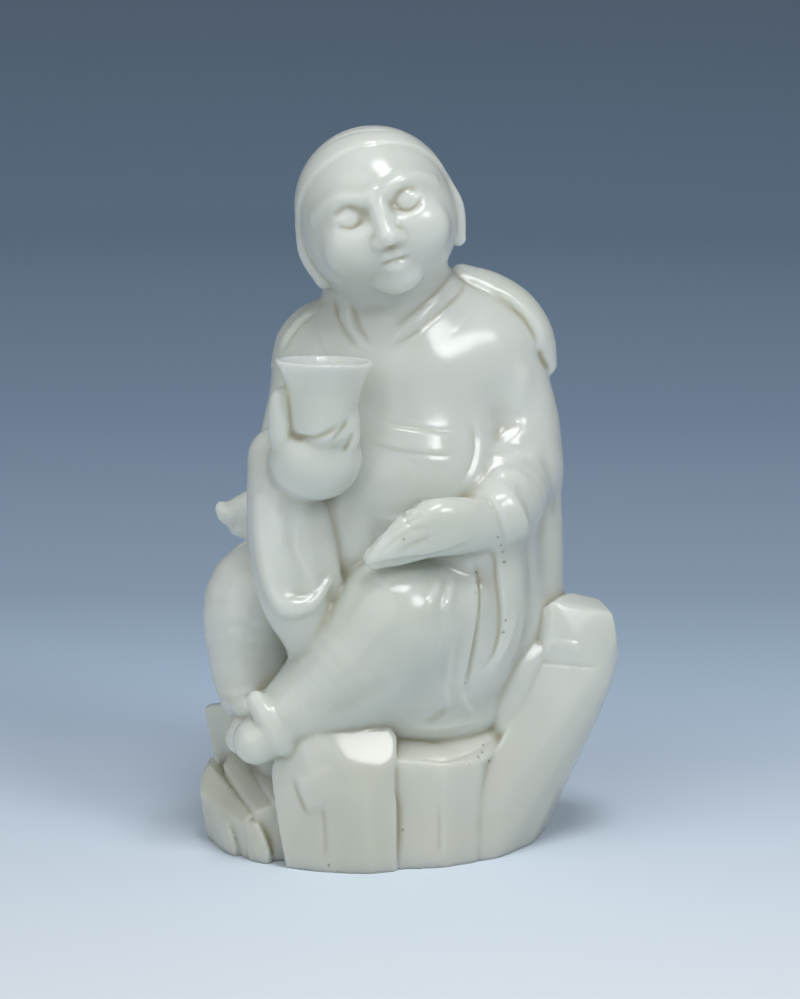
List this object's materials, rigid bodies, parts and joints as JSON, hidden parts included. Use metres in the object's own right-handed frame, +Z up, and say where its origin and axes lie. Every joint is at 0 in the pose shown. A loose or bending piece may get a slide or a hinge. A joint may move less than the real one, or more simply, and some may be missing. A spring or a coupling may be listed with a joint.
{
  "type": "carved stone figurine",
  "caption": "Solid carved jade figurine: a person in loose robes seated on a cluster of faceted rocks, wine cup in one hand, head tilted, flat underside.",
  "frame": {"origin": "middle of the bounding box at the flat underside", "axes": "+Z up, -Y towards the viewer that the cup and the knees face, +X towards the figure's left hand and the leaning crystal"},
  "size_m": [0.0594, 0.046, 0.0993],
  "materials": {
    "jade": "waxy polish"
  },
  "bodies": {
    "root": {"jade_figure": "jade"}
  },
  "joints": []
}
